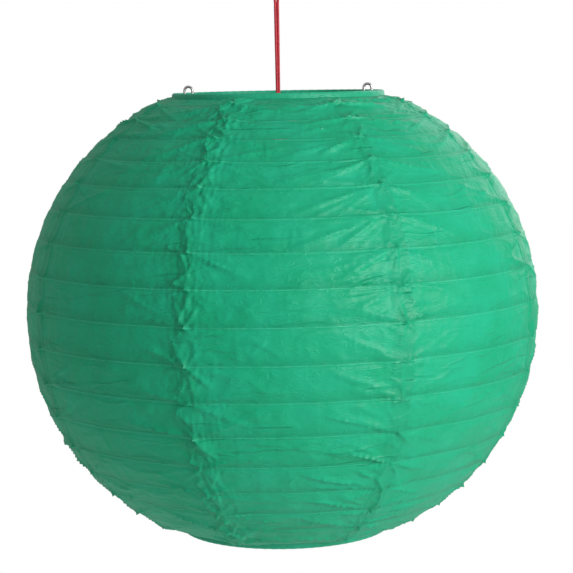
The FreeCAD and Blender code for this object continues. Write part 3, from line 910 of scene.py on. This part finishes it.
def fold_edging(name, ring_z, side):
    """A strip folded over an end ring: side is 1 over its top, -1 round its underside."""
    centre = RING_REACH - RING_WIRE / 2
    skirt = RING_REACH + 0.86 * MM
    inner = centre - RING_WIRE / 2 - 0.14 * MM
    profile = [
        (skirt + 0.22 * MM, -3.6 * MM), (skirt + 0.04 * MM, -2.7 * MM),
        (skirt - 0.05 * MM, -1.2 * MM),
        (skirt - 0.12 * MM, 0.1 * MM), (centre + 1.25 * MM, 0.9 * MM),
        (centre + 0.5 * MM, 1.32 * MM), (centre - 0.35 * MM, 1.32 * MM),
        (centre - 1.0 * MM, 0.95 * MM), (inner, 0.2 * MM), (inner - 0.02 * MM, -0.7 * MM),
    ]
    drop_selection()
    bpy.ops.mesh.primitive_circle_add(vertices=360, radius=profile[0][0],
                                      location=(0, 0, ring_z + side * profile[0][1]))
    piece = bpy.context.object
    piece.name = piece.data.name = name
    settle(piece)
    bpy.ops.object.mode_set(mode="EDIT")
    bpy.ops.mesh.select_all(action="SELECT")
    for before, after in zip(profile[:-1], profile[1:]):
        bpy.ops.mesh.extrude_edges_move(
            TRANSFORM_OT_translate={"value": (0, 0, side * (after[1] - before[1]))})
        grow = after[0] / before[0]
        bpy.ops.transform.resize(value=(grow, grow, 1), center_override=(0, 0, ring_z))
    bpy.ops.object.mode_set(mode="OBJECT")
    places = points_of(piece)
    angle = np.arctan2(places[:, 1], places[:, 0])
    level = (places[:, 2] - ring_z) * side / MM
    outer = np.clip((np.hypot(places[:, 0], places[:, 1]) - centre) / MM, -2, 2)
    arc = angle * centre / MM
    start_phase = 40 if side > 0 else 60
    cut_edge = 3.3                           # mm past the ring's middle, near the strip's end
    around = 2 * math.pi * centre / MM

    def closed(waves, phase):
        """A wave that closes on itself round the ring."""
        return np.sin(arc * 2 * math.pi * waves / around + phase)

    pucker = 0.05 * closed(61, start_phase) + 0.045 * closed(97, 2.1) \
        + 0.04 * closed(173, 0.4)
    pinch = np.maximum(0, closed(23, 1.0) * closed(37, 2.4)) ** 2 * 0.16
    down_share = np.clip(-level / cut_edge, 0, 1) * (outer > 0)
    push = (pucker + 0.06 + pinch) * (0.35 + 0.65 * down_share) * MM \
        * np.where(outer > 0, 1, 0.4)
    ragged = (0.16 * closed(19, 3.0) + 0.12 * closed(47, 0.7) + 0.08 * closed(131, 5.0)) * MM
    direction = np.stack([np.cos(angle), np.sin(angle)], 1)
    places[:, :2] += direction * push[:, None]
    crown = 0.07 * MM * closed(71, 1.9) * (level > 0.6)
    places[:, 2] += side * ragged * (level < -cut_edge) + side * crown
    move_points(piece, places)
    outward(piece)
    finish_with(piece, "SOLIDIFY", thickness=0.22 * MM, offset=-1.0)
    smooth(piece, 50)
    dress(piece, edging_paper)
    return piece


top_edging = fold_edging("top_edging", TOP_RING, 1)
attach(top_edging, "lantern")
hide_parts("top_binding")
base_edging = fold_edging("base_edging", BASE_RING, -1)
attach(base_edging, "base_ring")
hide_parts("bottom_binding")

# ---------------------------------------------------------------- hook's thread


def cut_thread():
    """The wood thread on the hook's shank: a ridge wound up it, closed at both ends."""
    drop_selection()
    shank, pitch, turns = 1.75 * MM, 1.35 * MM, 8
    ridge_start = (shank + 0.08 * MM, 0, 2.2 * MM)
    bpy.ops.mesh.primitive_circle_add(vertices=3, radius=0.46 * MM,
                                      rotation=(math.pi / 2, 0, 0), location=ridge_start)
    piece = bpy.context.object
    piece.name = piece.data.name = "hook_thread"
    settle(piece)
    bpy.ops.object.mode_set(mode="EDIT")
    bpy.ops.mesh.select_all(action="SELECT")
    bpy.ops.transform.rotate(value=math.radians(-90), orient_axis="Y",
                             center_override=ridge_start)
    bpy.ops.object.mode_set(mode="OBJECT")
    finish_with(piece, "SCREW", axis="Z", angle=2 * math.pi, screw_offset=pitch,
                iterations=turns, steps=36, render_steps=36, use_merge_vertices=False)
    bpy.ops.object.mode_set(mode="EDIT")
    bpy.ops.mesh.select_all(action="DESELECT")
    bpy.ops.mesh.select_mode(type="EDGE")
    bpy.ops.mesh.select_non_manifold()
    bpy.ops.mesh.edge_face_add()
    bpy.ops.object.mode_set(mode="OBJECT")
    outward(piece)
    smooth(piece, 30)
    dress(piece, brassed_steel)
    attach(piece, "hook")


cut_thread()

# ---------------------------------------------------------------- studio

FLOOR = -1.15
SWEEP_LIGHT = 1.0                            # what the camera sees of floor and room
ROOM_LIGHT = 0.42                            # what the room gives the lantern


def paper_sweep():
    """A pale floor that curves up into its own back wall."""
    drop_selection()
    bpy.ops.mesh.primitive_plane_add(size=9, location=(0, 0.5, FLOOR))
    sweep = bpy.context.object
    sweep.name = sweep.data.name = "pale_floor"
    settle(sweep)
    bpy.ops.object.mode_set(mode="EDIT")
    bpy.ops.mesh.select_mode(type="EDGE")
    bpy.ops.mesh.select_all(action="DESELECT")
    bpy.ops.object.mode_set(mode="OBJECT")
    back = max(vertex.co.y for vertex in sweep.data.vertices)
    for edge in sweep.data.edges:
        ends = [sweep.data.vertices[index].co.y for index in edge.vertices]
        edge.select = all(abs(end - back) < 1e-6 for end in ends)
    bpy.ops.object.mode_set(mode="EDIT")
    bpy.ops.mesh.extrude_edges_move(TRANSFORM_OT_translate={"value": (0, 0, 5)})
    bpy.ops.object.mode_set(mode="OBJECT")
    for edge in sweep.data.edges:
        ends = [sweep.data.vertices[index].co for index in edge.vertices]
        edge.select = all(abs(end.y - back) < 1e-6 and abs(end.z - FLOOR) < 1e-6
                          for end in ends)
    bpy.ops.object.mode_set(mode="EDIT")
    bpy.ops.mesh.bevel(offset=1.8, segments=16, affect="EDGES")
    bpy.ops.object.mode_set(mode="OBJECT")
    smooth(sweep, 40)
    made, tree, shader = new_finish("pale floor", (0.9, 0.9, 0.9))
    grain = noise(tree, object_place(tree), 3.0, 4.0, 0.6)
    tree.links.new(colour_mix(tree, grain, (0.86, 0.86, 0.86, 1), (0.89, 0.89, 0.89, 1)),
                   shader.inputs["Base Color"])
    shader.inputs["Roughness"].default_value = 0.9
    lamp_lit = put(tree, "ShaderNodeEmission", ("Color", (1, 1, 1, 1)),
                   ("Strength", SWEEP_LIGHT))
    seen = put(tree, "ShaderNodeLightPath", out="Is Camera Ray")
    mixed = put(tree, "ShaderNodeMixShader", (0, seen), (1, shader.outputs[0]),
                (2, lamp_lit))
    tree.links.new(mixed, tree.nodes["Material Output"].inputs["Surface"])
    dress(sweep, made)


def soft_box(name, place, size, power):
    """A square lamp that faces the globe's middle."""
    drop_selection()
    bpy.ops.object.light_add(type="AREA", location=place)
    lamp = bpy.context.object
    lamp.name = name
    lamp.data.shape = "RECTANGLE"
    lamp.data.size = lamp.data.size_y = size
    lamp.data.energy = power
    heading = Vector((0, 0, EQUATOR)) - Vector(place)
    lamp.rotation_euler = heading.to_track_quat("-Z", "Y").to_euler()


paper_sweep()
soft_box("key_soft_box", (1.45, -1.40, 0.22), 0.7, 33)
soft_box("top_soft_box", (0.3, -0.5, 1.6), 0.9, 2)
soft_box("back_soft_box", (0.9, 1.6, 0.3), 1.2, 10)

room = bpy.data.worlds.new("white room")
bpy.context.scene.world = room
room.use_nodes = True
room_tree = room.node_tree
room_shade = room_tree.nodes["Background"]
room_shade.inputs["Color"].default_value = (1, 1, 1, 1)
room_shade.inputs["Strength"].default_value = ROOM_LIGHT
seen_room = put(room_tree, "ShaderNodeBackground", ("Color", (1, 1, 1, 1)),
                ("Strength", SWEEP_LIGHT))
room_mix = put(room_tree, "ShaderNodeMixShader",
               (0, put(room_tree, "ShaderNodeLightPath", out="Is Camera Ray")),
               (1, room_shade.outputs[0]), (2, seen_room))
room_tree.links.new(room_mix, room_tree.nodes["World Output"].inputs["Surface"])

# ---------------------------------------------------------------- view transform

# a plain studio print: no film curve over the colours
bpy.context.scene.view_settings.view_transform = "Standard"
